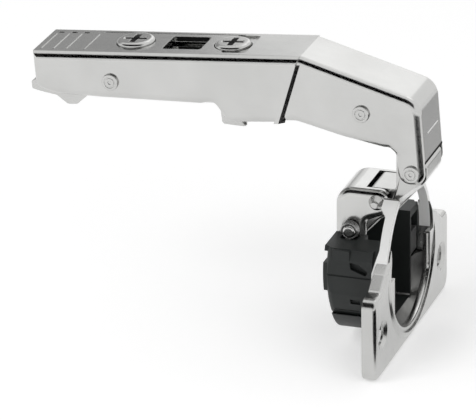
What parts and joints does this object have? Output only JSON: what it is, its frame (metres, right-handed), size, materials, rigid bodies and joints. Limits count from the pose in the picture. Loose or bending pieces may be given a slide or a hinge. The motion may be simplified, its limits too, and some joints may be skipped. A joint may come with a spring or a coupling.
{
  "type": "cranked cabinet cup hinge",
  "caption": "Concealed cabinet hinge with a long cranked steel arm, a soft-closing cup with a screw-on flange, and adjusting screws.",
  "frame": {"origin": "centre of the cup's bore on the door's inner face, with the hinge fully open", "axes": "+X out of the cup, away from the door, with the arm's long part lying back along -X, leaning 4.5 degrees; +Y along the hinge pins; +Z from the cup up to the arm"},
  "size_m": [0.0901, 0.056, 0.0647],
  "materials": {
    "nickel_satin": "satin nickel plate",
    "nickel_bright": "bright nickel plate",
    "nickel_pin": "turned steel",
    "spring_wire": "drawn wire",
    "black_plastic": "matte moulded",
    "grey_plastic": "matte moulded"
  },
  "bodies": {
    "arm": {"arm_channel": "nickel_satin", "clip_lever_pin": "nickel_pin", "arm_pin_upper": "nickel_pin", "arm_pin_lower": "nickel_pin"},
    "carrier": {"inner_carrier": "nickel_satin", "clip_spring": "spring_wire", "side_screw_nut": "nickel_pin"},
    "clip_lever": {"clip_lever": "nickel_satin"},
    "depth_screw": {"depth_screw": "nickel_bright"},
    "side_screw": {"side_screw": "nickel_bright"},
    "outer_link": {"outer_link": "nickel_satin"},
    "inner_link": {"inner_link": "nickel_satin"},
    "cup": {"cup_flange": "nickel_satin", "cup_hood": "nickel_bright", "cup_pin_upper": "nickel_bright", "cup_pin_lower": "nickel_bright", "damper_housing": "black_plastic", "damper_cylinder": "grey_plastic", "closing_spring": "spring_wire"},
    "damper_slider": {"damper_slider": "grey_plastic"}
  },
  "joints": [
    {"name": "cup_swing", "type": "hinge", "parent": "outer_link", "child": "cup", "pos_m": [-0.0029, 0, 0.01425], "axis": [0, -1, 0], "range_deg": [0, 132.55]},
    {"name": "outer_link_swing", "type": "hinge", "parent": "arm", "child": "outer_link", "pos_m": [-0.00609, 0, 0.03457], "axis": [0, 1, 0], "range_deg": [0, 38.55]},
    {"name": "inner_link_swing", "type": "hinge", "parent": "arm", "child": "inner_link", "pos_m": [0.00504, 0, 0.02196], "axis": [0, 1, 0], "range_deg": [0, 13.63]},
    {"name": "damper_press", "type": "slide", "parent": "cup", "child": "damper_slider", "axis": [-1, 0, 0], "range_m": [0, 0.00261]},
    {"name": "clip_release", "type": "hinge", "parent": "carrier", "child": "clip_lever", "pos_m": [-0.06273, 0, 0.03608], "axis": [0, 1, 0], "range_deg": [0, 6], "stiffness_Nm_per_rad": 0.5, "springref_deg": -5.73},
    {"name": "side_screw_turn", "type": "hinge", "parent": "arm", "child": "side_screw", "pos_m": [-0.03717, 0, 0.04271], "axis": [-0.0785, 0, 0.9969], "range_deg": [-181, 181]},
    {"name": "carrier_tilt", "type": "hinge", "parent": "arm", "child": "carrier", "pos_m": [-0.06273, 0, 0.03608], "axis": [0, 1, 0], "range_deg": [-1, 1]},
    {"name": "depth_screw_turn", "type": "hinge", "parent": "arm", "child": "depth_screw", "pos_m": [-0.0595, 0, 0.04095], "axis": [-0.0785, 0, 0.9969], "range_deg": [-90, 90]}
  ],
  "couplings": [
    {"joint": "outer_link_swing", "follows": "cup_swing", "ratio": 0.28706},
    {"joint": "inner_link_swing", "follows": "cup_swing", "ratio": 0.096039},
    {"joint": "damper_press", "follows": "cup_swing", "m_per_rad": 0.0011239},
    {"joint": "side_screw_turn", "follows": "carrier_tilt", "ratio": 180}
  ]
}
